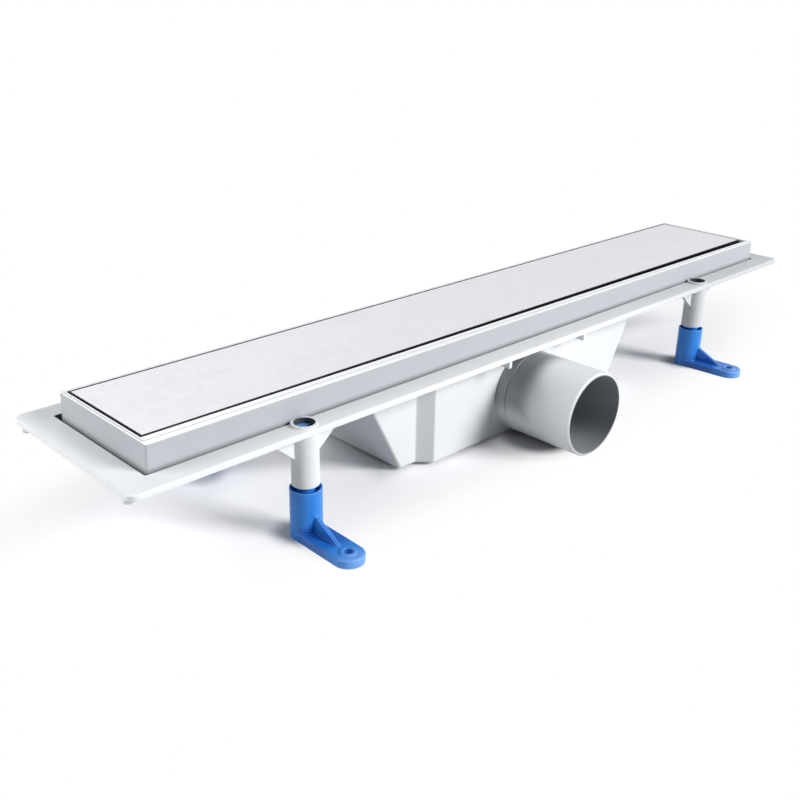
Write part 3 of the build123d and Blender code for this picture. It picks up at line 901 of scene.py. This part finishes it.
@dataclass
class CoverAssembly:
    """The top frame, and the cover that lies in it: panel, tray and clip pads.

    Attributes:
        rim: The top frame's node.
        panel: The panel's node.
        tray: The tray's node.
        pad_sides: The sides that the pads are named for.
        pad_places: Their places along a side.
    """

    rim: str = "top_frame"
    panel: str = "cover_panel"
    tray: str = "cover_tray"
    pad_sides: tuple[str, ...] = ("front", "back")
    pad_places: tuple[str, ...] = ("left", "middle", "right")

    def build(self) -> None:
        """Dress the frame, panel, tray and pads."""
        dress(self.rim, FRAME_PLASTIC.build())
        dress(self.panel, COVER_GLASS.build())
        dress(self.tray, TRAY_STEEL.build())
        rubber = RUBBER.build()
        for side in self.pad_sides:
            for place in self.pad_places:
                dress(f"cover_pad_{side}_{place}", rubber)


@dataclass
class TrapInsert:
    """What lifts out of the pan: funnel insert, water cup, ring seal and strainer.

    Attributes:
        insert: The insert's node.
        cup: The cup's node.
        seal: The ring seal's node.
        strainer: The strainer's node.
    """

    insert: str = "siphon_insert"
    cup: str = "siphon_cup"
    seal: str = "siphon_seal_ring"
    strainer: str = "hair_strainer"

    def build(self) -> None:
        """Dress the insert's pieces."""
        plastic = INSERT_PLASTIC.build()
        dress(self.insert, plastic)
        dress(self.cup, plastic)
        dress(self.seal, RUBBER.build())
        dress(self.strainer, STRAINER_STEEL.build())


@dataclass
class LevellingLegs:
    """The four blue screws and feet.

    Attributes:
        places: Where they stand.
    """

    places: tuple[Place, ...] = tuple(Place)

    def build(self) -> None:
        """Dress every screw and foot."""
        plastic = BLUE_PLASTIC.build()
        for place in self.places:
            dress(f"levelling_screw_{place.value}", plastic)
            dress(f"levelling_foot_{place.value}", plastic)


@dataclass(frozen=True)
class Lamp:
    """One soft box of the studio.

    Attributes:
        name: The lamp's name.
        place: Where it stands, in metres.
        width: Its width in metres.
        height: Its height in metres.
        power: Its power in watts.
        colour: Its colour as sRGB hex.
    """

    name: str
    place: tuple[float, float, float]
    width: float
    height: float
    power: float
    colour: str = "#FFFFFF"

    def build(self, target: Vector) -> None:
        """Place the lamp and turn it to the object.

        Args:
            target: The point that it faces.
        """
        data = bpy.data.lights.new(self.name, "AREA")
        data.shape = "RECTANGLE"
        data.size = self.width
        data.size_y = self.height
        data.energy = self.power
        data.color = linear(self.colour)[:3]
        lamp = bpy.data.objects.new(self.name, data)
        lamp.location = self.place
        lamp.rotation_euler = (target - lamp.location).to_track_quat("-Z", "Y").to_euler()
        bpy.context.scene.collection.objects.link(lamp)


@dataclass
class Studio:
    """A white table under soft boxes, with a white surround for the camera.

    Attributes:
        floor_half: Half the table's width in metres.
        world_strength: Even light from all round.
        world_colour: The colour of that light.
        floor_colour: The table as the camera sees it.
        bounce_colour: The table as its light reaches the drain.
        lift: Light that the table's shadows get on top.
        fade_middle: The middle of the part of the table that takes shadows.
        fade_stretch: How fast it ends along each axis.
        fade_from: Where it starts to turn plain white, in stretched metres.
        fade_to: Where it is plain white.
        deep_spaces: Where the table is in its deepest shadow.
        deep_colour: The table's colour there, a painted shadow.
        aim: The point that the lamps face, in metres.
        lamps: The soft boxes.
    """

    floor_half: float = 30.0
    world_strength: float = 0.12
    world_colour: str = "#F7F9FF"
    floor_colour: str = "#FCFCFE"
    bounce_colour: str = "#C6C6C8"
    lift: float = 0.05
    fade_middle: tuple[float, float, float] = (0.0, 0.02, 0.0)
    fade_stretch: tuple[float, float, float] = (0.5, 1.8, 1.0)
    fade_from: float = 0.095
    fade_to: float = 0.2
    deep_spaces: tuple[BoxSpace | RoundSpace, ...] = (*LOW_SHADE_SPACES, *FOOT_SHADE_SPACES)
    deep_colour: str = "#C6C7CA"
    aim: tuple[float, float, float] = (0.0, 0.0, 0.04)
    lamps: tuple[Lamp, ...] = (
        Lamp("front_soft_box", (1.007, -2.258, 1.314), width=1.08, height=1.08, power=86.0),
        Lamp("left_soft_box", (-0.930, 0.338, 0.560), width=0.62, height=0.62, power=7.5),
        Lamp("back_soft_box", (0.293, 1.093, 1.131), width=0.9, height=0.9, power=2.5),
    )

    def build(self) -> None:
        """Set up the world, the table and the lamps."""
        self.make_world()
        self.make_table()
        for lamp in self.lamps:
            lamp.build(Vector(self.aim))
            LOG.info("%s: %.1f W", lamp.name, lamp.power)

    def make_world(self) -> None:
        """Light evenly, and show white to the camera and to shiny surfaces."""
        world = bpy.data.worlds.new("studio_surround")
        world.use_nodes = True
        tree = world.node_tree
        tree.nodes.clear()
        even = add_node(
            tree,
            "ShaderNodeBackground",
            {"Color": linear(self.world_colour), "Strength": self.world_strength},
        )
        white = add_node(tree, "ShaderNodeBackground", {"Color": WHITE, "Strength": 1.0})
        mixed = add_node(
            tree,
            "ShaderNodeMixShader",
            {0: self.seen_by_camera(tree), 1: even.outputs[0], 2: white.outputs[0]},
        )
        add_node(tree, "ShaderNodeOutputWorld", {"Surface": mixed.outputs[0]})
        bpy.context.scene.world = world

    def seen_by_camera(self, tree: bpy.types.NodeTree) -> bpy.types.NodeSocket:
        """One where a ray comes from the camera, a gloss or a see-through surface.

        Args:
            tree: The tree that gets the nodes.

        Returns:
            The factor's output.
        """
        path = add_node(tree, "ShaderNodeLightPath").outputs
        direct = larger(tree, path["Is Camera Ray"], path["Is Transmission Ray"])
        return larger(tree, direct, path["Is Glossy Ray"])

    def make_table(self) -> None:
        """Lay the table. The camera, the drain and a look from below each see it their own way."""
        half = self.floor_half
        mesh = bpy.data.meshes.new("studio_table")
        mesh.from_pydata(
            [(-half, -half, 0.0), (half, -half, 0.0), (half, half, 0.0), (-half, half, 0.0)],
            [],
            [(0, 1, 2, 3)],
        )
        table = bpy.data.objects.new("studio_table", mesh)
        bpy.context.scene.collection.objects.link(table)
        material, tree = new_material("white_paper_sweep")
        bounce = add_node(tree, "ShaderNodeBsdfDiffuse", {"Color": linear(self.bounce_colour)})
        shown = add_node(
            tree,
            "ShaderNodeMixShader",
            {0: self.seen_by_camera(tree), 1: bounce.outputs[0], 2: self.seen_paper(tree)},
        )
        from_below = add_node(
            tree,
            "ShaderNodeMixShader",
            {
                0: add_node(tree, "ShaderNodeNewGeometry").outputs["Backfacing"],
                1: shown.outputs[0],
                2: add_node(tree, "ShaderNodeBsdfTransparent").outputs[0],
            },
        )
        add_node(tree, "ShaderNodeOutputMaterial", {"Surface": from_below.outputs[0]})
        mesh.materials.append(material)

    def seen_paper(self, tree: bpy.types.NodeTree) -> bpy.types.NodeSocket:
        """The table as the camera sees it: shaded near the drain, deepest under it, white away.

        Args:
            tree: The table's node tree.

        Returns:
            The shader's output.
        """
        paper = add_node(tree, "ShaderNodeBsdfDiffuse", {"Color": linear(self.floor_colour)})
        lift = add_node(tree, "ShaderNodeEmission", {"Color": WHITE, "Strength": self.lift})
        lifted = add_node(tree, "ShaderNodeAddShader", {0: paper.outputs[0], 1: lift.outputs[0]})
        white = add_node(tree, "ShaderNodeEmission", {"Color": WHITE, "Strength": 1.0})
        faded = add_node(
            tree,
            "ShaderNodeMixShader",
            {0: self.far_off(tree), 1: lifted.outputs[0], 2: white.outputs[0]},
        )
        deep = self.deep_spaces[0].factor(tree)
        for space in self.deep_spaces[1:]:
            deep = larger(tree, deep, space.factor(tree))
        dark = add_node(tree, "ShaderNodeBsdfDiffuse", {"Color": linear(self.deep_colour)})
        return add_node(
            tree, "ShaderNodeMixShader", {0: deep, 1: faded.outputs[0], 2: dark.outputs[0]}
        ).outputs[0]

    def far_off(self, tree: bpy.types.NodeTree) -> bpy.types.NodeSocket:
        """Zero on the table near the drain, one where it is plain white.

        Args:
            tree: The table's node tree.

        Returns:
            The factor's output.
        """
        spot = add_node(tree, "ShaderNodeNewGeometry").outputs["Position"]
        off = add_node(
            tree, "ShaderNodeVectorMath", {0: spot, 1: self.fade_middle}, operation="SUBTRACT"
        ).outputs["Vector"]
        stretched = add_node(
            tree, "ShaderNodeVectorMath", {0: off, 1: self.fade_stretch}, operation="MULTIPLY"
        ).outputs["Vector"]
        reach = add_node(tree, "ShaderNodeVectorMath", {0: stretched}, operation="LENGTH")
        return add_node(
            tree,
            "ShaderNodeMapRange",
            {
                "Value": reach.outputs["Value"],
                "From Min": self.fade_from,
                "From Max": self.fade_to,
            },
            interpolation_type="SMOOTHSTEP",
        ).outputs["Result"]


@dataclass(frozen=True)
class PhotoCamera:
    """The camera that the photograph was fitted with.

    Attributes:
        place_mm: Where it stands.
        azimuth: Its heading in degrees, from +Y towards +X.
        dip: How far it looks down, in degrees.
        roll: How far it leans, in degrees.
        focal_pixels: Focal length in the photograph's pixels.
        sensor_mm: Sensor width.
        near_m: The nearest that it sees, in metres.
        far_m: The furthest that it sees, in metres.
    """

    place_mm: tuple[float, float, float] = (-448.20, -385.05, 262.52)
    azimuth: float = 44.42890
    dip: float = 23.58424
    roll: float = 1.03571
    focal_pixels: float = 1009.313
    sensor_mm: float = 36.0
    near_m: float = 0.01
    far_m: float = 100.0

    def build(self) -> None:
        """Place the camera and make it the scene's own."""
        heading, dip, roll = (math.radians(a) for a in (self.azimuth, self.dip, self.roll))
        ahead = Vector(
            (math.sin(heading) * math.cos(dip), math.cos(heading) * math.cos(dip), -math.sin(dip))
        )
        level = ahead.cross(Vector((0.0, 0.0, 1.0))).normalized()
        upright = level.cross(ahead)
        right = math.cos(roll) * level + math.sin(roll) * upright
        up = -math.sin(roll) * level + math.cos(roll) * upright
        data = bpy.data.cameras.new("photo_camera")
        data.sensor_width = self.sensor_mm
        data.lens = self.focal_pixels * self.sensor_mm / PHOTO_PIXELS
        data.clip_start = self.near_m
        data.clip_end = self.far_m
        camera = bpy.data.objects.new("photo_camera", data)
        camera.matrix_world = Matrix.Translation(Vector(self.place_mm) * MM) @ Matrix(
            (
                (right.x, up.x, -ahead.x, 0.0),
                (right.y, up.y, -ahead.y, 0.0),
                (right.z, up.z, -ahead.z, 0.0),
                (0.0, 0.0, 0.0, 1.0),
            )
        )
        bpy.context.scene.collection.objects.link(camera)
        bpy.context.scene.camera = camera
        LOG.info("%s: %.1f mm lens", camera.name, data.lens)


def main() -> None:
    """Dress the drain piece by piece, then set up the studio and the camera."""
    logging.basicConfig(level=logging.INFO, format="%(name)s: %(message)s")
    bpy.context.scene.view_settings.view_transform = "Standard"
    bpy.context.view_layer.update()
    for assembly in (PanAssembly(), CoverAssembly(), TrapInsert(), LevellingLegs()):
        assembly.build()
    Studio().build()
    PhotoCamera().build()


if __name__ == "__main__":
    main()
